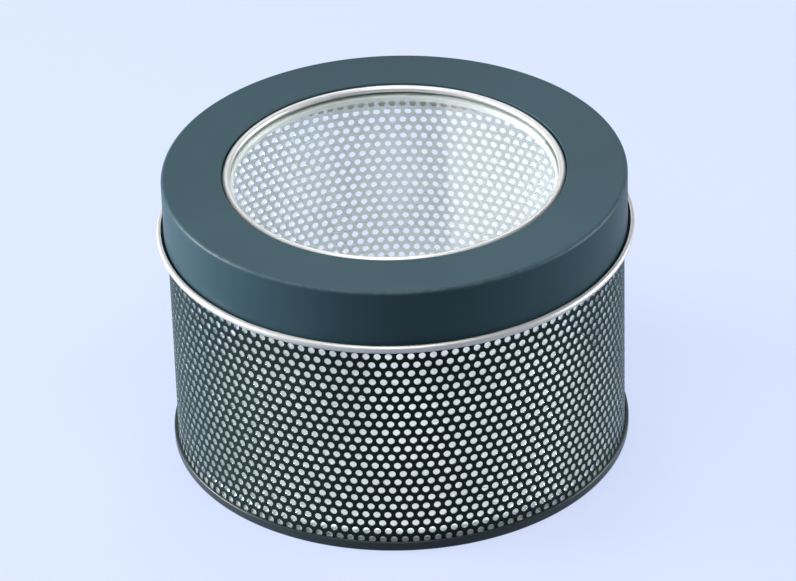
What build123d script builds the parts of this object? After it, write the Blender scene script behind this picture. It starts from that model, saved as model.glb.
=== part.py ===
"""Round tin with a slip lid that has a clear window.

Lengths are in millimetres and +Z points up. The origin lies at the centre of the base, where the tin
stands.
"""

from math import cos, radians, sin
import os

from build123d import *

os.makedirs("parts", exist_ok=True)

# Overall sizes
lid_radius = 55.0
panel_height = 71.3

# Sheets
lid_sheet = 0.25
wall_sheet = 0.3
end_sheet = 0.25
ring_sheet = 0.25
pane_thickness = 0.3

# Clearances
seam_clearance = 0.05
flange_clearance = 0.05
body_clearance = 0.25
seat_clearance = 0.1

# Lid: rolled lower edge, top corner and the groove and bead round the window
skirt_depth = 15.75
rim_roll_radius = 0.95
rim_roll_turn = 270.0
lid_corner_radius = 1.0
panel_width = 14.25
groove_depth = 1.55
groove_floor_width = 1.15
groove_bend_radius = 0.35
bead_radius = 0.85
bead_turn = 300.0

# Pane and the ring that holds it up
pane_overlap = 4.15
pane_clearance = 1.5
ring_collar_overlap = 2.75
ring_collar_depth = 1.3
ring_collar_bend_radius = 0.5
ring_step_bend_radius = 0.5
ring_corner_radius = 0.9
ring_flange_depth = 4.1

# Wall: folded top edge, side lap and lower hook
hem_gap = 0.1
hem_depth = 3.0
lap_width = 5.0
lap_angle = 28.0
lap_clearance = 0.5
body_hook_height = 1.9

# Openings in the wall: a plain grid with the open share of the sheet's fine holes
openings_around = 22
opening_rows = 4
opening_diameter = 9.75
opening_row_pitch = 13.4
opening_margin = 0.1
cut_overrun = 1.0

# Base end
base_panel_height = 5.0
base_panel_bend_radius = 1.0
seam_height = 2.5
seam_corner_radius = 0.625
end_hook_height = 0.95


def section(start, heading, moves, sheet):
    """Section of a bent sheet in the XZ plane.

    The middle line starts at a point with a heading in degrees from +X towards +Z. A move is ("run", length)
    or ("bend", radius of the middle line, angle), where a positive angle turns left. Each side of the sheet
    is the middle line set off by half its thickness, so both sides are lines and arcs that meet smoothly.
    """
    half = sheet / 2
    point = Vector(start[0], 0, start[1])
    left, right = [], []

    def normal(angle):
        return Vector(-sin(radians(angle)), 0, cos(radians(angle)))

    first = (point + normal(heading) * half, point - normal(heading) * half)
    for move in moves:
        if move[0] == "run":
            along = Vector(cos(radians(heading)), 0, sin(radians(heading))) * move[1]
            shift = normal(heading) * half
            left.append(Line(point + shift, point + shift + along))
            right.append(Line(point - shift, point - shift + along))
            point = point + along
            continue
        radius, angle = move[1], move[2]
        side = 1 if angle > 0 else -1
        centre = point + normal(heading) * radius * side
        for edges, reach in ((left, radius - side * half), (right, radius + side * half)):
            spokes = [normal(heading + angle * share) * -side * reach for share in (0, 0.5, 1)]
            edges.append(ThreePointArc(*[centre + spoke for spoke in spokes]))
        heading = heading + angle
        point = centre - normal(heading) * radius * side
    last = (point + normal(heading) * half, point - normal(heading) * half)
    return Face(Wire(left + [Line(*last)] + right + [Line(*first)]))


def save(shape, name):
    """Give a shape its name and write its file."""
    shape.label = name
    export_step(shape, f"parts/{name}.step")
    print(name, "volume", round(shape.volume, 2), "valid", shape.is_valid)


# Radii of the window, from the skirt inwards
groove_radius = lid_radius - panel_width
pane_radius = groove_radius + pane_overlap
ring_collar_middle = groove_radius - ring_collar_overlap + ring_sheet / 2
ring_step_middle = pane_radius + pane_clearance + ring_sheet / 2

# Radii that follow from the fits, from the skirt inwards
skirt_middle = lid_radius - lid_sheet / 2
ring_flange_middle = lid_radius - lid_sheet - flange_clearance - ring_sheet / 2
wall_radius = ring_flange_middle - ring_sheet / 2 - body_clearance
wall_middle = wall_radius - wall_sheet / 2
chuck_middle = wall_radius - wall_sheet - seam_clearance - end_sheet / 2

# The seam's layers, from the wall outwards
end_hook_middle = wall_radius + seam_clearance + end_sheet / 2
body_hook_middle = wall_radius + seam_clearance * 2 + end_sheet + wall_sheet / 2
seam_middle = wall_radius + seam_clearance * 3 + end_sheet + wall_sheet + end_sheet / 2
body_turn_radius = (body_hook_middle - wall_middle) / 2
end_turn_radius = (seam_middle - end_hook_middle) / 2

# Heights under the lid
panel_middle = panel_height - lid_sheet / 2
groove_floor_middle = panel_height - groove_depth - lid_sheet / 2
pane_top = groove_floor_middle - lid_sheet / 2
pane_bottom = pane_top - pane_thickness
ring_land_middle = pane_bottom - ring_sheet / 2
ring_top_middle = panel_height - lid_sheet - ring_sheet / 2
wall_top = ring_top_middle - ring_sheet / 2 - seat_clearance


# Lid: from the bead's free edge round the bead, up out of the groove, over the panel and down to the rim
def lid_section():
    """The bead and the rim are rolled outwards, and the sheet between them has four bends."""
    bead_middle = bead_radius - lid_sheet / 2
    bend_middle = groove_bend_radius - lid_sheet / 2
    corner_middle = lid_corner_radius - lid_sheet / 2
    roll_middle = rim_roll_radius - lid_sheet / 2
    groove_middle = groove_radius + lid_sheet / 2
    bead_axis = groove_radius - groove_floor_width
    bead_height = groove_floor_middle + bead_middle
    roll_height = panel_height - skirt_depth + rim_roll_radius
    start_angle = 270 - bead_turn
    start = (
        bead_axis + bead_middle * cos(radians(start_angle)),
        bead_height + bead_middle * sin(radians(start_angle)),
    )
    moves = [
        ("bend", bead_middle, bead_turn),
        ("run", groove_middle - bend_middle - bead_axis),
        ("bend", bend_middle, 90),
        ("run", panel_middle - groove_floor_middle - bend_middle * 2),
        ("bend", bend_middle, -90),
        ("run", skirt_middle - corner_middle - groove_middle - bend_middle),
        ("bend", corner_middle, -90),
        ("run", panel_middle - corner_middle - roll_height),
        ("bend", roll_middle, rim_roll_turn),
    ]
    return section(start, start_angle + 90, moves, lid_sheet)


lid_shell = revolve(lid_section(), Axis.Z)
save(lid_shell, "lid_shell")

# Pane: a plain disc that lies under the floor of the groove
window_pane = Pos(0, 0, pane_bottom) * Solid.make_cylinder(pane_radius, pane_thickness)
save(window_pane, "window_pane")


# Retaining ring: a collar round the window, a land under the pane, a step up to the panel and a flange
def ring_section():
    """Up the collar and out over the land, then the two bends of the step and one down into the flange."""
    collar_bend = ring_collar_bend_radius - ring_sheet / 2
    step_middle = ring_step_bend_radius - ring_sheet / 2
    corner_middle = ring_corner_radius - ring_sheet / 2
    moves = [
        ("run", ring_collar_depth - ring_collar_bend_radius),
        ("bend", collar_bend, -90),
        ("run", ring_step_middle - step_middle - ring_collar_middle - collar_bend),
        ("bend", step_middle, 90),
        ("run", ring_top_middle - ring_land_middle - step_middle * 2),
        ("bend", step_middle, -90),
        ("run", ring_flange_middle - corner_middle - ring_step_middle - step_middle),
        ("bend", corner_middle, -90),
        ("run", ring_flange_depth - corner_middle),
    ]
    return section((ring_collar_middle, pane_bottom - ring_collar_depth), 90, moves, ring_sheet)


retaining_ring = revolve(ring_section(), Axis.Z)
save(retaining_ring, "retaining_ring")


# Base end: a raised panel, its upright wall inside the tin, and the fold that grips the wall's hook
def end_section():
    """From the axis out, down, under the wall's edge, up outside it and back down between wall and hook."""
    panel_bend = base_panel_bend_radius - end_sheet / 2
    corner_middle = seam_corner_radius - end_sheet / 2
    turn_height = seam_height - end_turn_radius - end_sheet / 2
    base_middle = base_panel_height - end_sheet / 2
    moves = [
        ("run", chuck_middle - panel_bend),
        ("bend", panel_bend, -90),
        ("run", base_middle - panel_bend - seam_corner_radius),
        ("bend", corner_middle, 90),
        ("run", seam_middle - chuck_middle - corner_middle * 2),
        ("bend", corner_middle, 90),
        ("run", turn_height - seam_corner_radius),
        ("bend", end_turn_radius, 180),
        ("run", turn_height - end_hook_height),
    ]
    return section((0, base_middle), 0, moves, end_sheet)


base_end = revolve(end_section(), Axis.Z)
save(base_end, "base_end")


# Wall: from its hook in the seam up to the fold at its top
def wall_section():
    """The hook is turned out and up, and the top edge is folded in and down."""
    hem_turn = (wall_sheet + hem_gap) / 2
    turn_height = end_sheet + seam_clearance + body_turn_radius + wall_sheet / 2
    hem_height = wall_top - hem_turn - wall_sheet / 2
    moves = [
        ("run", body_hook_height - turn_height),
        ("bend", body_turn_radius, -180),
        ("run", hem_height - turn_height),
        ("bend", hem_turn, 180),
        ("run", hem_depth),
    ]
    return section((body_hook_middle, body_hook_height), -90, moves, wall_sheet)


def lap_section():
    """The strip where the sheet's one end lies inside the other, clear of the base end and of the fold."""
    outer = wall_radius - wall_sheet
    bottom = base_panel_height + lap_clearance
    height = wall_top - hem_depth - lap_clearance * 2 - bottom
    strip = Rectangle(wall_sheet, height, align=(Align.MAX, Align.MIN))
    return Plane.XZ * Pos(outer, bottom) * strip


def wall_openings():
    """Short radial cutters through the wall, in columns that stand evenly on both sides of the lap.

    The strip where the sheet's ends overlap stays plain.
    """
    pitch_angle = 360 / openings_around
    plain_angle = (lap_width + opening_diameter) / 2 / wall_radius / radians(1)
    lowest = base_panel_height + opening_margin + opening_diameter / 2
    cutters = []
    for row in range(opening_rows):
        for step in range(openings_around):
            turn = pitch_angle * (step + 1 / 2)
            if min(turn, 360 - turn) < plain_angle:
                continue
            angle = radians(lap_angle + turn)
            outwards = Vector(cos(angle), sin(angle), 0)
            start = outwards * (wall_radius - wall_sheet - cut_overrun)
            place = Plane(origin=start + Vector(0, 0, lowest + opening_row_pitch * row), z_dir=outwards)
            cutters.append(Solid.make_cylinder(opening_diameter / 2, wall_sheet + cut_overrun * 2, place))
    return cutters


lap_arc = lap_width / wall_radius / radians(1)
lap = Rot(0, 0, lap_angle - lap_arc / 2) * revolve(lap_section(), Axis.Z, revolution_arc=lap_arc)
body_wall = (revolve(wall_section(), Axis.Z) - wall_openings() + lap).solid()
save(body_wall, "body_wall")
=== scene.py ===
# %% [markdown]
# # A round window tin, piece by piece
#
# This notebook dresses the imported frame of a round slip-lid tin. The wall is perforated sheet, black outside
# and bare inside, and the lid has a clear round window in a rolled bead. Every sheet piece is a profile that
# is carried round the axis, so one small set of functions makes nearly the whole tin.

import math

import bpy
import numpy as np
from mathutils import Matrix


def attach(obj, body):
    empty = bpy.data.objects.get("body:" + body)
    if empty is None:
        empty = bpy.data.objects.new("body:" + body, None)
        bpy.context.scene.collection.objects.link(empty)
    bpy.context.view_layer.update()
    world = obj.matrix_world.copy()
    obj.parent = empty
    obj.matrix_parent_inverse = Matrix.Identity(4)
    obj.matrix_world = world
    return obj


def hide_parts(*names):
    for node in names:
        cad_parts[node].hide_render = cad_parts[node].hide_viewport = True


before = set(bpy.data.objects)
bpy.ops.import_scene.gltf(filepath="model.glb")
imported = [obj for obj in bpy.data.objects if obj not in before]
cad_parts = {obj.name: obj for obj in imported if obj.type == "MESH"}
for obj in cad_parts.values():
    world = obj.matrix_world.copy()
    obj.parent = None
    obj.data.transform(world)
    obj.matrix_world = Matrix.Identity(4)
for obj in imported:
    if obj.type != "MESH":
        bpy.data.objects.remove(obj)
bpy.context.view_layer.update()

# %% [markdown]
# ## Sizes
#
# The frame is in metres and the tin's own sizes are easier to read in millimetres, so they are written in
# millimetres once, and `MM` turns them into metres when a mesh is made.

# %% Sizes of the tin in millimetres
MM = 0.001
lid_radius, panel_height = 55.0, 71.3
lid_sheet, wall_sheet, end_sheet, ring_sheet, pane_thickness = 0.25, 0.3, 0.25, 0.25, 0.3
seam_clearance, flange_clearance, body_clearance, seat_clearance = 0.05, 0.05, 0.25, 0.1
skirt_depth, rim_roll_radius, rim_roll_turn, lid_corner_radius = 15.75, 0.95, 270.0, 1.0
groove_radius, groove_depth, groove_floor_width, groove_bend_radius = 40.75, 1.55, 1.15, 0.35
bead_radius, bead_turn = 0.85, 300.0
ring_collar_middle, ring_collar_depth, ring_collar_bend_radius = 38.125, 1.3, 0.5
ring_step_radius, ring_step_bend_radius = 46.525, 0.5
ring_corner_radius, ring_flange_depth = 0.9, 4.1
hem_gap, hem_depth, lap_width, lap_angle, lap_clearance, body_hook_height = 0.1, 3.0, 5.0, 28.0, 0.5, 1.9
base_panel_height, base_panel_bend_radius = 5.0, 1.0
seam_height, seam_corner_radius, end_hook_height = 2.5, 0.625, 0.95
hole_diameter, hole_row_count, holes_around = 1.65, 26, 132
first_row_height, row_pitch = 2.81, 2.304

skirt_middle = lid_radius - lid_sheet / 2
ring_flange_middle = lid_radius - lid_sheet - flange_clearance - ring_sheet / 2
wall_radius = ring_flange_middle - ring_sheet / 2 - body_clearance
wall_middle = wall_radius - wall_sheet / 2
chuck_middle = wall_radius - wall_sheet - seam_clearance - end_sheet / 2
end_hook_middle = wall_radius + seam_clearance + end_sheet / 2
body_hook_middle = wall_radius + seam_clearance * 2 + end_sheet + wall_sheet / 2
seam_middle = wall_radius + seam_clearance * 3 + end_sheet + wall_sheet + end_sheet / 2
body_turn_radius = (body_hook_middle - wall_middle) / 2
end_turn_radius = (seam_middle - end_hook_middle) / 2
panel_middle = panel_height - lid_sheet / 2
groove_floor_middle = panel_height - groove_depth - lid_sheet / 2
pane_bottom = groove_floor_middle - lid_sheet / 2 - pane_thickness
ring_land_middle = pane_bottom - ring_sheet / 2
ring_top_middle = panel_height - lid_sheet - ring_sheet / 2
wall_top = ring_top_middle - ring_sheet / 2 - seat_clearance
print("wall radius", wall_radius, "mm, wall top", wall_top, "mm")

# %% [markdown]
# ## A small language for node materials
#
# Nodes are easier to read as sums. `Signal` wraps one output socket, and the usual operators add Math nodes,
# so `1 - mask` is a node too. `add` makes any other node: its settings come first, because some of them
# change which sockets the node has, and the values or links of its inputs follow.


# %% Shader maths as Python expressions
class Signal:
    """One output socket in a node tree, with + - * and ** that build Math nodes."""

    def __init__(self, tree, socket):
        self.tree, self.socket = tree, socket

    def maths(self, operation, *values):
        return add(self.tree, "ShaderNodeMath", {"operation": operation}, dict(enumerate(values)))

    def __add__(self, other):
        return self.maths("ADD", self, other)

    def __mul__(self, other):
        return self.maths("MULTIPLY", self, other)

    def __sub__(self, other):
        return self.maths("SUBTRACT", self, other)

    def __rsub__(self, other):
        return self.maths("SUBTRACT", other, self)

    def __pow__(self, other):
        return self.maths("POWER", self, other)

    __radd__, __rmul__ = __add__, __mul__

    def band(self, low, high):
        """0 below low, 1 above high and an even slope between them."""
        return add(self.tree, "ShaderNodeMapRange", {"clamp": True}, {0: self, 1: low, 2: high})


def add(tree, kind, settings=None, inputs=None, output=0):
    """Add a node: first its settings, then the values or links of its inputs, and give one output."""
    node = tree.nodes.new(kind)
    for name, value in (settings or {}).items():
        setattr(node, name, value)
    for name, value in (inputs or {}).items():
        if isinstance(value, Signal):
            tree.links.new(value.socket, node.inputs[name])
        else:
            node.inputs[name].default_value = value
    return Signal(tree, node.outputs[output])


def mix(tree, share, first, second):
    """Blend two colours by a share, each a colour or a signal."""
    settings = {"data_type": "RGBA"}
    return add(tree, "ShaderNodeMix", settings, {0: share, 6: first, 7: second}, output=2)


def finish(name, made, **sockets):
    """A new material with one Principled shader: values are set on its sockets and signals are linked.

    A socket's name is written with underscores. made is called with the tree and gives the sockets that
    change over the surface.
    """
    material = bpy.data.materials.new(name)
    material.use_nodes = True
    tree = material.node_tree
    shader = next(node for node in tree.nodes if node.type == "BSDF_PRINCIPLED")
    for socket, value in {**sockets, **made(tree)}.items():
        target = shader.inputs[socket.replace("_", " ")]
        if isinstance(value, Signal):
            tree.links.new(value.socket, target)
        else:
            target.default_value = value
    print("material", name, len(tree.nodes), "nodes")
    return material


def grain(tree, scale, detail=3.0, roughness=0.5, stretch=(1, 1, 1), centre=0.0):
    """Noise on the piece's own Object coordinates, with its pattern stretched along the axes."""
    place = add(tree, "ShaderNodeTexCoord", output=3)
    moved = add(tree, "ShaderNodeMapping", None, {0: place, 1: (centre,) * 3, 3: stretch})
    inputs = {0: moved, "Scale": scale, "Detail": detail, "Roughness": roughness}
    return add(tree, "ShaderNodeTexNoise", None, inputs)


def from_axis(tree):
    """Distance from the axis, sqrt(x x + y y), and height, both in metres."""
    place = add(tree, "ShaderNodeTexCoord", output=3)
    x, y, z = [add(tree, "ShaderNodeSeparateXYZ", None, {0: place}, output=at) for at in range(3)]
    return (x * x + y * y) ** 0.5, z


def bump(tree, height, distance, strength):
    """Turn a height signal into a normal. The distance is the height's full span in metres."""
    return add(tree, "ShaderNodeBump", None, {"Strength": strength, "Distance": distance, "Height": height})


# %% [markdown]
# ## Lacquer
#
# The outside is a stoved lacquer: nearly black with a slate cast, satin and very slightly uneven, because
# it was rolled on flat sheet. A plain dark colour would look like plastic, so the colour drifts a little,
# the gloss drifts more, and a fine orange peel breaks up the highlights. The lid's top outer corner gets a
# painted highlight: a paler, glossier band in speckled patches.


# %% Lacquer for the lid, the wall and the base
peel_depth, peel_strength = 0.000012, 0.35
drift_dulls, fleck_dulls = 0.06, 0.05
# Colour, cover and added gloss of the painted highlight on the lid's top outer corner.
painted_highlight_colour, painted_highlight_cover, painted_highlight_shines = (0.12, 0.14, 0.15), 0.5, 0.12
# In millimetres inside the lid's edge and under its top: where the painted highlight begins and where it is
# full.
inside_from, inside_to, under_from, under_to = 0.75, 0.2, 0.7, 0.15


def lacquer(name, deep, pale, gloss, sheen, painted_highlight_height=None):
    """Satin lacquer between two near colours. Its roughness is gloss + drift and fleck times their shares.

    The lid's corner at painted_highlight_height millimetres gets a painted highlight: it is made paler and
    glossier in patches. It is found by its distance from the axis and its height, each as a slope from 0 to 1
    over the corner's roundness.
    """

    def made(tree):
        drift = grain(tree, 35.0, 2.0, centre=0.3).band(0.3, 0.7)
        peel = grain(tree, 2600.0, 2.0)
        fleck = grain(tree, 900.0, 4.0).band(0.62, 0.8)
        colour = mix(tree, drift, (*deep, 1), (*pale, 1))
        rough = gloss + drift * drift_dulls + fleck * fleck_dulls
        if painted_highlight_height:
            radius, height = from_axis(tree)
            edge = radius.band((lid_radius - inside_from) * MM, (lid_radius - inside_to) * MM)
            top = height.band((painted_highlight_height - under_from) * MM, (painted_highlight_height - under_to) * MM)
            # Painted highlight: the lid's top corner is made paler and glossier in speckled patches.
            painted_highlight = edge * top * grain(tree, 700.0, 4.0).band(0.35, 0.75) * painted_highlight_cover
            colour = mix(tree, painted_highlight, colour, (*painted_highlight_colour, 1))
            rough = rough - painted_highlight * painted_highlight_shines
        normal = bump(tree, peel, peel_depth, peel_strength)
        return {"Base_Color": colour, "Roughness": rough, "Normal": normal}

    return finish(name, made, Specular_IOR_Level=sheen)


# The lid's lacquer carries the painted highlight on its top outer corner.
lid_lacquer = lacquer("lid_lacquer", (0.019, 0.042, 0.055), (0.022, 0.049, 0.063), 0.40, 0.1, panel_height)
wall_lacquer = lacquer("wall_lacquer", (0.006, 0.014, 0.015), (0.009, 0.019, 0.020), 0.40, 0.05)
base_lacquer = lacquer("base_lacquer", (0.010, 0.018, 0.020), (0.014, 0.024, 0.027), 0.30, 0.25)

# %% [markdown]
# ## Tinplate
#
# Inside, and wherever the sheet is rolled over, bare tinplate shows. It is a soft mirror with a faint
# rolling grain along one direction and dull patches where fingers and rollers touched it. Rolling the bead
# and the rim dulls them, and the ring inside the lid is nearly matt, so each has its own share of mirror.
# The ring's grey is the tinplate's own, and its green cast is a painted reflection of the tin's inside.


# %% Bare tinplate
patch_dulls, line_dulls = 0.07, 0.08
line_depth, line_strength = 0.00002, 0.25


def tinplate(name, colour, dull, gloss, stretch, mirror):
    """Metal with its grain drawn out one way. Its roughness is gloss + patches and lines times their shares.

    mirror is the share of metal: the rest is a matt surface of the same colour.
    """

    def made(tree):
        lines = grain(tree, 260.0, 4.0, 0.6, stretch)
        patch = grain(tree, 45.0, 3.0, centre=0.7).band(0.35, 0.7)
        shade = mix(tree, patch, (*colour, 1), (*dull, 1))
        rough = gloss + patch * patch_dulls + lines * line_dulls
        normal = bump(tree, lines, line_depth, line_strength)
        return {"Base_Color": shade, "Roughness": rough, "Normal": normal}

    return finish(name, made, Metallic=mirror)


bead_tinplate = tinplate("bead_tinplate", (0.46, 0.46, 0.46), (0.40, 0.40, 0.41), 0.36, (1, 1, 6), 0.6)
# The ring is nearly matt: its grey is the tinplate's own, and its green cast is a painted reflection of the
# tin's inside.
ring_tinplate = tinplate("ring_tinplate", (0.52, 0.59, 0.56), (0.46, 0.52, 0.50), 0.50, (1, 1, 6), 0.15)
inner_tinplate = tinplate("inner_tinplate", (0.62, 0.71, 0.74), (0.54, 0.63, 0.65), 0.20, (1, 1, 12), 0.9)
floor_tinplate = tinplate("floor_tinplate", (0.84, 0.86, 0.87), (0.76, 0.78, 0.79), 0.24, (1, 9, 1), 0.6)

# %% [markdown]
# ## Clear pane
#
# The window is a thin flat sheet of clear plastic. Real refraction through such a thin sheet moves nothing,
# so the pane is mostly see-through, with a share of mirror that gives it its glare. Faint scratches and
# finger haze raise its roughness and its cover a little.


# %% Clear plastic for the window
pane_tint = (0.96, 0.97, 0.98, 1)
pane_roughness, pane_cover = 0.04, 0.13


def clear_sheet(tree):
    """Roughness and cover of the clean sheet, each with its own shares of haze and scratches added."""
    haze = grain(tree, 60.0, 3.0).band(0.45, 0.75)
    scratch = grain(tree, 500.0, 2.0, 0.5, (1, 14, 1)).band(0.7, 0.74)
    rough = pane_roughness + haze * 0.05 + scratch * 0.15
    cover = pane_cover + haze * 0.015 + scratch * 0.03
    return {"Roughness": rough, "Alpha": cover}


clear_pane = finish("clear_pane", clear_sheet, Base_Color=pane_tint, Metallic=1.0)

# %% [markdown]
# ## Profiles of bent sheet
#
# A press bends sheet along a path, so the profile is written as the press would do it: run straight, bend
# by an angle, run again. Both faces of the sheet lie half its thickness from that middle line, and their
# normals are known exactly, which keeps long flat faces flat in reflections.


# %% Profile of a bent sheet
def sheet_profile(start, heading, moves, sheet, arc_step=9.0):
    """Both faces of a bent sheet as points (r, z), and the middle line's normals.

    The middle line is the start plus the moves: a run adds its end, and a bend adds points on its arc every
    few degrees. A face's point is the middle point plus or minus its normal times half the sheet, with plus
    on the left.
    """
    points, headings = [np.array([start])], [np.array([heading], float)]
    place, angle = np.array(start, float), float(heading)
    for kind, size, *turn in moves:
        if kind == "run":
            along = math.radians(angle)
            place = place + size * np.array([math.cos(along), math.sin(along)])
            points.append(place[None])
            headings.append(np.array([angle]))
            continue
        side = math.copysign(1.0, turn[0])
        steps = np.linspace(0, turn[0], max(3, math.ceil(abs(turn[0]) / arc_step) + 1))
        spokes = np.radians(angle + steps + 90)
        away = np.stack([np.cos(spokes), np.sin(spokes)], 1) * side * size
        arc = place + away[0] - away
        points.append(arc[1:])
        headings.append(angle + steps[1:])
        place, angle = arc[-1], angle + turn[0]
    points, turned = np.concatenate(points), np.radians(np.concatenate(headings) + 90)
    normals = np.stack([np.cos(turned), np.sin(turned)], 1)
    left, right = points + normals * sheet / 2, points - normals * sheet / 2
    return left, right, normals


def ring_of(left, right, normals):
    """Join both faces into one loop: down the right face and back along the left one.

    It gives the points, their normals and, for each stretch between two points, 0 on the right face, 1 on
    the left face and 2 on the two cut edges.
    """
    count = len(left)
    points = np.concatenate([right, left[::-1]])
    faces = np.concatenate([-normals, normals[::-1]])
    sides = np.concatenate([np.zeros(count - 1), [2], np.ones(count - 1), [2]]).astype(int)
    return points, faces, sides


# %% [markdown]
# ## From arrays to a mesh
#
# All geometry is handed over as whole arrays. Each corner of each face carries its exact normal, so a rolled
# edge of a few faces still shines like a smooth one.


# %% Write a mesh
def write_mesh(name, points, groups, body, node, materials):
    """Make an object from points in millimetres and groups of faces, in place of a node of the frame.

    A group is (corner indices, corner normals, material numbers), for faces of one corner count. A face's
    first corner is at the sum of all corner counts before it.
    """
    mesh = bpy.data.meshes.new(name)
    corners = np.concatenate([group[0].ravel() for group in groups])
    sizes = np.concatenate([np.full(len(group[0]), group[0].shape[1]) for group in groups])
    normals = np.concatenate([group[1].reshape(-1, 3) for group in groups])
    slots = np.concatenate([np.broadcast_to(group[2], len(group[0])) for group in groups])
    mesh.vertices.add(len(points))
    mesh.vertices.foreach_set("co", (points * MM).astype(np.float32).ravel())
    mesh.loops.add(len(corners))
    mesh.loops.foreach_set("vertex_index", corners.astype(np.int32))
    mesh.polygons.add(len(sizes))
    mesh.polygons.foreach_set("loop_start", np.concatenate([[0], np.cumsum(sizes)[:-1]]).astype(np.int32))
    mesh.polygons.foreach_set("material_index", slots.astype(np.int32))
    for material in materials:
        mesh.materials.append(material)
    mesh.update(calc_edges=True)
    mesh.validate()
    mesh.shade_smooth()
    mesh.normals_split_custom_set(normals)
    piece = bpy.data.objects.new(name, mesh)
    bpy.context.scene.collection.objects.link(piece)
    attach(piece, body)
    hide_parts(node)
    print(name, len(points), "points", int((sizes - 2).sum()), "triangles")
    return piece


def spin(points, normals, count):
    """Carry a profile round the axis: (r, z) becomes (r cos a, r sin a, z) for count even angles."""
    angles = np.arange(count) * 2 * math.pi / count
    turn = np.stack([np.cos(angles), np.sin(angles)], 1)

    def carried(profile):
        flat = profile[:, None, :1] * turn[None]
        return np.concatenate([flat, np.repeat(profile[:, None, 1:], count, 1)], 2)

    return carried(points), carried(normals)


def skin(grid, normals, order=1):
    """Quads between neighbouring rows of an index grid whose columns close into a ring.

    Row i and column j give the corners (i, j), (i, j + 1), (i + 1, j + 1), (i + 1, j), in this order or,
    with an order below 0, backwards.
    """
    after = np.roll(grid, -1, 1)
    quads = np.stack([grid[:-1], after[:-1], after[1:], grid[1:]], -1).reshape(-1, 4)
    turned = np.roll(normals, -1, 1)
    faces = np.stack([normals[:-1], turned[:-1], turned[1:], normals[1:]], -2).reshape(-1, 4, 3)
    return (quads[:, ::-1], faces[:, ::-1]) if order < 0 else (quads, faces)


def revolved(name, profile, body, node, materials, sides, count=360):
    """A closed profile carried round the axis; sides turns the profile's face numbers into materials.

    A row of points on the axis is one point, a pole. A quad with two corners on a pole is made a triangle by
    leaving out the corner that repeats the one before it, and a quad between two poles is dropped.
    """
    points, normals, faces = profile
    places, turned = spin(points, normals, count)
    grid = np.arange(len(points) * count).reshape(-1, count)
    poles = np.isclose(points[:, 0], 0)
    grid[poles] = grid[poles, :1]
    used, grid = np.unique(grid, return_inverse=True)
    grid = grid.reshape(-1, count)
    closed = np.concatenate([grid, grid[:1]])
    quads, corners = skin(closed, np.concatenate([turned, turned[:1]]))
    slots = np.repeat(np.array(sides)[faces], count)
    repeats = quads == np.roll(quads, 1, 1)
    whole, three = repeats.sum(1) == 0, repeats.sum(1) == 1
    groups = [(quads[whole], corners[whole], slots[whole])]
    if three.any():
        kept = ~repeats[three]
        triangles = quads[three][kept].reshape(-1, 3)
        groups.append((triangles, corners[three][kept].reshape(-1, 3, 3), slots[three]))
    return write_mesh(name, places.reshape(-1, 3)[used], groups, body, node, materials)


# %% [markdown]
# ## The lid
#
# One pressed sheet: the bead round the window is its inner edge rolled up, the groove beside the bead is
# pressed down, and the skirt's lower edge is rolled outwards. Both rolled edges turn the bare inside of the
# sheet to the light, which is why they shine beside the lacquer.


# %% Lid profile and mesh
def lid_profile():
    """Bead, groove, panel, corner, skirt and rolled rim, in this order from the bead's free edge.

    The bead starts on a circle round its own axis, at the angle 270 degrees less its turn.
    """
    bead_middle, bend_middle = bead_radius - lid_sheet / 2, groove_bend_radius - lid_sheet / 2
    corner_middle, roll_middle = lid_corner_radius - lid_sheet / 2, rim_roll_radius - lid_sheet / 2
    groove_middle = groove_radius + lid_sheet / 2
    bead_axis = groove_radius - groove_floor_width
    roll_height = panel_height - skirt_depth + rim_roll_radius
    start_angle = math.radians(270 - bead_turn)
    start = (
        bead_axis + bead_middle * math.cos(start_angle),
        groove_floor_middle + bead_middle + bead_middle * math.sin(start_angle),
    )
    moves = [
        ("bend", bead_middle, bead_turn),
        ("run", groove_middle - bend_middle - bead_axis),
        ("bend", bend_middle, 90),
        ("run", panel_middle - groove_floor_middle - bend_middle * 2),
        ("bend", bend_middle, -90),
        ("run", skirt_middle - corner_middle - groove_middle - bend_middle),
        ("bend", corner_middle, -90),
        ("run", panel_middle - corner_middle - roll_height),
        ("bend", roll_middle, rim_roll_turn),
    ]
    return ring_of(*sheet_profile(start, 270 - bead_turn + 90, moves, lid_sheet))


lid = revolved("lid", lid_profile(), "lid", "lid_shell", [lid_lacquer, bead_tinplate], [1, 0, 1])

# %% [markdown]
# ## The ring inside the lid
#
# The pane is trapped between the groove and this plain ring, which is pressed into the skirt. Its collar
# hangs down round the window and shows through the pane as a light band under the bead. The rest of it
# hides under the lid's panel.
#
# The pane itself is the frame's own disc and only gets its finish.


# %% Retaining ring
def ring_profile():
    """A collar up to the pane, a land under it, a step up to the panel and a flange inside the skirt."""
    collar_bend = ring_collar_bend_radius - ring_sheet / 2
    step_middle, corner_middle = ring_step_bend_radius - ring_sheet / 2, ring_corner_radius - ring_sheet / 2
    moves = [
        ("run", ring_collar_depth - ring_collar_bend_radius),
        ("bend", collar_bend, -90),
        ("run", ring_step_radius - step_middle - ring_collar_middle - collar_bend),
        ("bend", step_middle, 90),
        ("run", ring_top_middle - ring_land_middle - step_middle * 2),
        ("bend", step_middle, -90),
        ("run", ring_flange_middle - corner_middle - ring_step_radius - step_middle),
        ("bend", corner_middle, -90),
        ("run", ring_flange_depth - corner_middle),
    ]
    start = (ring_collar_middle, pane_bottom - ring_collar_depth)
    return ring_of(*sheet_profile(start, 90, moves, ring_sheet))


ring = revolved("inner_ring", ring_profile(), "lid", "retaining_ring", [ring_tinplate], [0, 0, 0])

# %% Pane
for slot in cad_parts["window_pane"].material_slots:
    slot.material = clear_pane

# %% [markdown]
# ## The base
#
# The base is a shallow pan whose edge is folded over the wall's hook. The fold is the black seam that the
# tin stands on. Its top, inside the tin, is bare.


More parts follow.
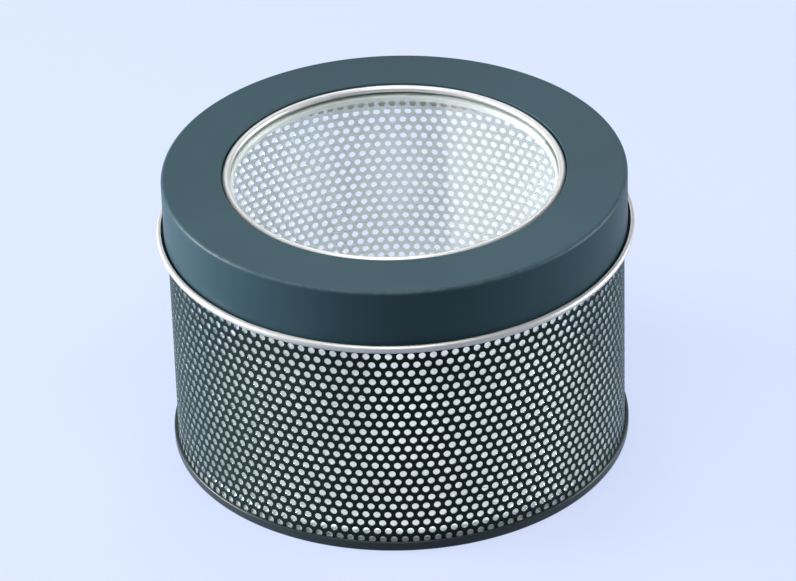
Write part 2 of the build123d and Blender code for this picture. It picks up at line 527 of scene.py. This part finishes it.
# %% Base end and bottom seam
def base_profile():
    """Raised panel, upright wall inside the tin, flat foot, outer face of the seam and its hook."""
    panel_bend, corner_middle = base_panel_bend_radius - end_sheet / 2, seam_corner_radius - end_sheet / 2
    turn_height = seam_height - end_turn_radius - end_sheet / 2
    base_middle = base_panel_height - end_sheet / 2
    moves = [
        ("run", chuck_middle - panel_bend),
        ("bend", panel_bend, -90),
        ("run", base_middle - panel_bend - seam_corner_radius),
        ("bend", corner_middle, 90),
        ("run", seam_middle - chuck_middle - corner_middle * 2),
        ("bend", corner_middle, 90),
        ("run", turn_height - seam_corner_radius),
        ("bend", end_turn_radius, 180),
        ("run", turn_height - end_hook_height),
    ]
    return ring_of(*sheet_profile((0, base_middle), 0, moves, end_sheet))


base = revolved("base", base_profile(), "tin_body", "base_end", [base_lacquer, floor_tinplate], [0, 1, 1])

# %% [markdown]
# ## The perforated wall
#
# The holes have to be real, because the photograph shows light, floor and far wall through them, and they
# slide over each other as the view turns. A boolean with three thousand cutters is slow and leaves long
# thin faces. Instead one cell is drawn: a small rectangle with a round hole of sixteen corners. Rows of
# cells are laid round the wall, each row half a pitch on from the one below, so the corners of one row meet
# the middles of the next and the sheet is closed.
#
# The sheet's two ends overlap in a plain strip, so the cells there have no hole.
#
# A cell's edge has sixteen corners too, in quarters of the pitch from its middle, and they pair up with the
# corners of its hole.

# %% One cell of the perforation
corner_count = 16
quarters_across = np.array([2, 2, 2, 1, 0, -1, -2, -2, -2, -2, -2, -1, 0, 1, 2, 2])
quarters_up = np.array([0, 1, 2, 2, 2, 2, 2, 1, 0, -1, -2, -2, -2, -2, -2, -1])
cell_angles = np.arange(corner_count) * 2 * math.pi / corner_count
quarters_around = holes_around * 4
hole_pitch = 2 * math.pi * wall_radius / holes_around
print("pitch", round(hole_pitch, 3), "mm, bridge", round(hole_pitch - hole_diameter, 3), "mm")


def on_wall(radius, along, height):
    """Wrap the flat sheet: a length along the outer face becomes an angle, at any radius."""
    angle = along / wall_radius
    return np.stack([radius * np.cos(angle), radius * np.sin(angle), height], -1)


def outwards(points):
    """Unit vectors away from the axis."""
    flat = points * np.array([1.0, 1.0, 0.0])
    return flat / np.linalg.norm(flat, axis=-1, keepdims=True)


# %% [markdown]
# The wall is made in three bands, so that no mesh is too heavy, and each band is closed by itself. A band
# is its rows of cells, on the outer and the inner face, with the short tubes through the sheet, and below
# and above them a plain stretch that is a profile carried round.


# %% Bands of the wall
def wall_band(name, rows, below, above):
    """Cells at (step + row % 2 / 2) * hole_pitch, first_row_height + row * row_pitch, and plain stretches.

    below and above are profiles (points, normals, sides) from the outer face round to the inner face. Each
    corner of a cell's edge is shared with its neighbours: its key is its level in quarters of a row pitch
    times the number of quarters round the wall, plus its quarter.
    """
    row, step = [at.ravel() for at in np.meshgrid(np.array(rows), np.arange(holes_around), indexing="ij")]
    quarter = step * 4 + row % 2 * 2
    across = (quarter[:, None] + quarters_across) % quarters_around
    level = (row - rows[0])[:, None] * 4 + 2 + quarters_up
    key, edge = np.unique(level * quarters_around + across, return_inverse=True)
    edge = edge.reshape(across.shape)
    edge_height = first_row_height + (rows[0] - 0.5 + key // quarters_around / 4) * row_pitch
    edge_along = key % quarters_around * hole_pitch / 4
    rim_along = (quarter * hole_pitch / 4)[:, None] + np.cos(cell_angles) * hole_diameter / 2
    rim_height = (first_row_height + row * row_pitch)[:, None] + np.sin(cell_angles) * hole_diameter / 2

    # The points come in four parts: the cells' edges and the holes' rims on the outer face, 0 and 1, and
    # the same on the inner face, 2 and 3.
    points, starts = [], [0]
    for radius in (wall_radius, wall_radius - wall_sheet):
        for along, height in ((edge_along, edge_height), (rim_along.ravel(), rim_height.ravel())):
            points.append(on_wall(radius, along, height))
            starts.append(starts[-1] + len(points[-1]))
    rim = np.arange(rim_along.size).reshape(rim_along.shape)
    flat = np.concatenate(points)
    away = outwards(flat)
    groups = []

    def following(table):
        return np.roll(table, -1, 1)

    for part, order, slot in ((0, 1, 0), (2, -1, 1)):
        border, hole = edge + starts[part], rim + starts[part + 1]
        quads = np.stack([border, following(border), following(hole), hole], -1)
        quads = quads.reshape(-1, 4)[:, ::order]
        groups.append((quads, away[quads] * order, slot))

    # Each hole has a tube through the sheet, but beside the lap both its ends are closed by a plug.
    plain_half = math.degrees((lap_width + hole_diameter * 2) / 2 / wall_radius)
    plain = np.abs(quarter * 90.0 / holes_around - lap_angle) < plain_half
    outer, inner = rim[~plain] + starts[1], rim[~plain] + starts[3]
    tubes = np.stack([outer, following(outer), following(inner), inner], -1).reshape(-1, 4)
    centres = on_wall(wall_middle, quarter * hole_pitch / 4, rim_height.mean(1))[~plain]
    inwards = np.repeat(centres, corner_count, 0)[:, None] - flat[tubes]
    inwards -= (inwards * away[tubes]).sum(-1, keepdims=True) * away[tubes]
    groups.append((tubes, inwards / np.linalg.norm(inwards, axis=-1, keepdims=True), 1))
    for part, order, slot in ((1, 1, 0), (3, -1, 1)):
        plugs = (rim[plain] + starts[part])[:, ::order]
        groups.append((plugs, away[plugs] * order, slot))

    # The plain stretches share their first and last points with the cells' lowest or highest edge.
    for (profile, normals, sides), at_level, order in ((below, 0, -1), (above, len(rows) * 4, 1)):
        ends = np.searchsorted(key, at_level * quarters_around + np.arange(quarters_around))
        places, faces = spin(profile, normals, quarters_around)
        middle = np.arange((len(profile) - 2) * quarters_around).reshape(-1, quarters_around) + len(flat)
        grid = np.concatenate([ends[None], middle, ends[None] + starts[2]])
        quads, corners = skin(grid, faces, order)
        groups.append((quads, corners, np.repeat(sides, quarters_around)))
        flat = np.concatenate([flat, places[1:-1].reshape(-1, 3)])
    return write_mesh(name, flat, groups, "tin_body", "body_wall", [wall_lacquer, inner_tinplate])


def cut_at(height):
    """A flat cut through the sheet, from the outer face to the inner one."""
    points = np.array([[wall_radius, height], [wall_radius - wall_sheet, height]])
    return points, np.array([[1.0, 0.0], [-1.0, 0.0]]), np.array([1])


def stretch_of(start, heading, moves, first_side):
    """A plain stretch from the outer face round its free edge and back along the inner face.

    The middle line starts where the cells end. first_side says which face of the path is the outer one.
    """
    outer, inner, normals = sheet_profile(start, heading, moves, wall_sheet)
    if first_side == "right":
        outer, inner, normals = inner, outer, -normals
    points = np.concatenate([outer, inner[::-1]])
    faces = np.concatenate([normals, -normals[::-1]])
    count = len(outer) - 1
    return points, faces, np.concatenate([np.zeros(count), np.ones(count + 1)]).astype(int)


lower_end, middle_end = hole_row_count // 3, hole_row_count * 2 // 3
bottom_level, lower_joint, upper_joint, top_level = [
    first_row_height + (row - 0.5) * row_pitch for row in (0, lower_end, middle_end, hole_row_count)
]
hook_turn_height = end_sheet + seam_clearance + body_turn_radius + wall_sheet / 2
hem_turn = (wall_sheet + hem_gap) / 2
hem_height = wall_top - hem_turn - wall_sheet / 2

hook_moves = [
    ("run", bottom_level - hook_turn_height),
    ("bend", body_turn_radius, 180),
    ("run", body_hook_height - hook_turn_height),
]
hem_moves = [("run", hem_height - top_level), ("bend", hem_turn, 180), ("run", hem_depth)]
hook = stretch_of((wall_middle, bottom_level), -90, hook_moves, "left")
hem = stretch_of((wall_middle, top_level), 90, hem_moves, "right")
bands = [
    wall_band("wall_lower", range(lower_end), hook, cut_at(lower_joint)),
    wall_band("wall_middle", range(lower_end, middle_end), cut_at(lower_joint), cut_at(upper_joint)),
    wall_band("wall_upper", range(middle_end, hole_row_count), cut_at(upper_joint), hem),
]

# %% [markdown]
# The lap inside the plain strip is the other end of the sheet. It is a short piece of the same radius, so it
# is a small grid over angle and height with a second face one sheet further in.


# %% Lap inside the wall
def lap_strip(steps=12):
    """Outer and inner faces at the angle and height of each corner, joined round their edges."""
    half = lap_width / wall_radius / 2
    angles = math.radians(lap_angle) + np.linspace(-half, half, steps + 1)
    bottom = base_panel_height + lap_clearance
    heights = np.array([bottom, wall_top - hem_depth - lap_clearance * 2])
    radii = np.array([wall_radius - wall_sheet, wall_radius - wall_sheet * 2])
    radius, height, angle = np.meshgrid(radii, heights, angles, indexing="ij")
    points = np.stack([radius * np.cos(angle), radius * np.sin(angle), height], -1).reshape(-1, 3)
    at = np.arange(len(points)).reshape(2, 2, -1)
    outer = np.stack([at[0, 0, :-1], at[0, 0, 1:], at[0, 1, 1:], at[0, 1, :-1]], -1)
    inner = np.stack([at[1, 0, 1:], at[1, 0, :-1], at[1, 1, :-1], at[1, 1, 1:]], -1)
    under = np.stack([at[0, 0, 1:], at[0, 0, :-1], at[1, 0, :-1], at[1, 0, 1:]], -1)
    over = np.stack([at[0, 1, :-1], at[0, 1, 1:], at[1, 1, 1:], at[1, 1, :-1]], -1)
    ends = np.array(
        [
            [at[0, 0, 0], at[0, 1, 0], at[1, 1, 0], at[1, 0, 0]],
            [at[0, 1, -1], at[0, 0, -1], at[1, 0, -1], at[1, 1, -1]],
        ]
    )
    quads = np.concatenate([outer, inner, under, over, ends])
    first, second, third = [points[quads[:, corner]] for corner in (0, 1, 2)]
    normal = np.cross(second - first, third - second)
    normal /= np.linalg.norm(normal, axis=1, keepdims=True)
    corners = np.repeat(normal[:, None], 4, 1)
    corners[:steps] = outwards(points)[quads[:steps]]
    corners[steps : steps * 2] = -outwards(points)[quads[steps : steps * 2]]
    return write_mesh("wall_lap", points, [(quads, corners, 0)], "tin_body", "body_wall", [inner_tinplate])


lap = lap_strip()

# %% [markdown]
# ## Floor and background
#
# The background is an even pale blue. A lit floor alone would drift in tone across the frame, so the floor
# glows with the background's colour for the camera, for mirrors and through the pane, and only a smaller
# share of it is a lit matt surface, which keeps the tin's soft shadow. For all other light the floor is a
# darker grey, so that it throws little light up at the tin.

# %% Floor
paper = (0.660, 0.740, 0.975)
matt_paper = (0.16, 0.18, 0.2)
glow_share = 0.85


def floor_finish():
    """The paper's glow for camera, mirrors and glass, mixed with a matt surface that keeps the shadow."""
    material = bpy.data.materials.new("studio_paper")
    material.use_nodes = True
    tree = material.node_tree
    tree.nodes.clear()
    camera_ray, glossy_ray, through_ray = [add(tree, "ShaderNodeLightPath", output=at) for at in (0, 3, 6)]
    rays = camera_ray + glossy_ray + through_ray
    seen = rays.maths("MINIMUM", rays, 1.0)
    glow = add(tree, "ShaderNodeEmission", None, {"Color": (*paper, 1), "Strength": 1.0})
    matt_colour = mix(tree, seen, (*matt_paper, 1), (*paper, 1))
    matt = add(tree, "ShaderNodeBsdfDiffuse", None, {"Color": matt_colour})
    blend = add(tree, "ShaderNodeMixShader", None, {0: seen * glow_share, 1: matt, 2: glow})
    surface = tree.nodes.new("ShaderNodeOutputMaterial")
    tree.links.new(blend.socket, surface.inputs[0])
    return material


floor_half = 6.0
floor_mesh = bpy.data.meshes.new("floor")
floor_corners = [(x * floor_half, y * floor_half, 0) for x, y in ((-1, -1), (1, -1), (1, 1), (-1, 1))]
floor_mesh.from_pydata(floor_corners, [], [(0, 1, 2, 3)])
floor_mesh.materials.append(floor_finish())
floor = bpy.data.objects.new("floor", floor_mesh)
bpy.context.scene.collection.objects.link(floor)

# %% [markdown]
# ## Light
#
# A tin like this is lit by large soft boxes. Two stand behind it side by side, where the pane mirrors them.
# The right one is brighter, and its edge draws the straight line across the window. A high box above them
# lights the floor inside through the window, and a small one close above the lid's front lights the lid. Low
# boxes on both sides light the wall, and faint panels at the left and along the front fill. The sky between
# them is a plain pale grey-blue.

# %% World
world = bpy.data.worlds.new("studio")
bpy.context.scene.world = world
world.use_nodes = True
sky = next(node for node in world.node_tree.nodes if node.type == "BACKGROUND")
sky.inputs["Color"].default_value = (0.9, 0.95, 1.0, 1)
sky.inputs["Strength"].default_value = 0.12

# %% Lamps
aim_height = 0.05


def soft_box(name, place, target, width, height, watts):
    """An area lamp at a place that shines at a target, with its width level.

    An area lamp shines along its own -Z, so its matrix has the direction back from the target as +Z.
    """
    lamp = bpy.data.lights.new(name, "AREA")
    lamp.shape, lamp.size, lamp.size_y, lamp.energy = "RECTANGLE", width, height, watts
    stand = bpy.data.objects.new(name, lamp)
    bpy.context.scene.collection.objects.link(stand)
    back = np.array(place, float) - np.array(target, float)
    back /= np.linalg.norm(back)
    side = np.cross((0, 0, 1), back)
    side /= np.linalg.norm(side)
    matrix = np.eye(4)
    matrix[:3, :3], matrix[:3, 3] = np.stack([side, np.cross(back, side), back], 1), place
    stand.matrix_world = Matrix(matrix)


def at_rise(azimuth, rise, away):
    """A place at an azimuth from +X, a rise in degrees and a distance from the tin's middle."""
    flat, up = math.radians(azimuth), math.radians(rise)
    level = away * math.cos(up)
    return level * math.cos(flat), level * math.sin(flat), away * math.sin(up) + aim_height


# Each row gives a name, a place, how far it and its target are moved to the right, width, height and watts.
lamps = (
    ("overhead_box", (-0.02, -0.09, 0.3), 0.0, 0.16, 0.16, 0.6),
    ("back_left_box", at_rise(90, 35, 1.3), -0.298, 0.65, 0.9, 1.2),
    ("back_right_box", at_rise(90, 35, 1.3), 0.352, 0.65, 0.9, 2.7),
    ("high_back_box", at_rise(90, 60, 1.3), 0.0, 0.5, 0.5, 6.5),
    ("left_box", at_rise(174, 8, 1.3), 0.0, 0.7, 0.35, 50.0),
    ("right_box", at_rise(10, 8, 1.3), 0.0, 0.6, 0.3, 20.0),
    ("left_panel", at_rise(180, 38, 1.3), 0.0, 0.9, 0.7, 2.0),
    ("front_panel", at_rise(270, 34, 1.5), 0.0, 0.6, 0.5, 2.4),
    ("front_left_panel", at_rise(225, 38, 1.3), 0.0, 0.7, 0.6, 0.9),
    ("front_right_panel", at_rise(325, 40, 1.3), 0.0, 0.6, 0.6, 0.9),
)
for name, place, aside, *size_and_watts in lamps:
    soft_box(name, (place[0] + aside, *place[1:]), (aside, 0, aim_height), *size_and_watts)
print(len(lamps), "lamps")

# %% [markdown]
# ## Camera
#
# The camera stands where the photograph was taken. Its place follows from the ellipses of the lid, the
# window, the rim and the base and from the rows of holes: their flattening gives the height of the view,
# and how fast they shrink downwards gives the distance. The angles are the view's elevation and the small
# turns left in the picture: a roll, a turn to the side and a nod.

# %% Camera
elevation, roll, sideways, nod = [math.radians(angle) for angle in (33.6219, 1.7516, 0.0037, -1.5507)]
distance_in_lid_radii, focal_pixels, photo_width = 21.2975, 4813.9914, 796
distance = distance_in_lid_radii * lid_radius * MM
seat = np.array([0, -distance * math.cos(elevation), distance * math.sin(elevation)])
back = seat / np.linalg.norm(seat)
right = np.array([1.0, 0.0, 0.0])
looking = np.stack([right, np.cross(back, right), back])


def turn(angle, first, second):
    """Rotation that carries axis number first by an angle towards axis number second."""
    matrix = np.eye(3)
    matrix[first, first] = matrix[second, second] = math.cos(angle)
    matrix[second, first], matrix[first, second] = math.sin(angle), -math.sin(angle)
    return matrix


pose = np.eye(4)
pose[:3, :3] = (turn(roll, 0, 1) @ turn(nod, 1, 2) @ turn(sideways, 2, 0) @ looking).T
pose[:3, 3] = seat
lens = bpy.data.cameras.new("camera")
lens.sensor_width = 36.0
lens.lens = focal_pixels * lens.sensor_width / photo_width
lens.clip_start, lens.clip_end = 0.05, 50.0
camera = bpy.data.objects.new("camera", lens)
bpy.context.scene.collection.objects.link(camera)
camera.matrix_world = Matrix(pose)
bpy.context.scene.camera = camera
bpy.context.scene.view_settings.view_transform = "Standard"
print("camera at", seat.round(3), "lens", round(lens.lens, 1), "mm")
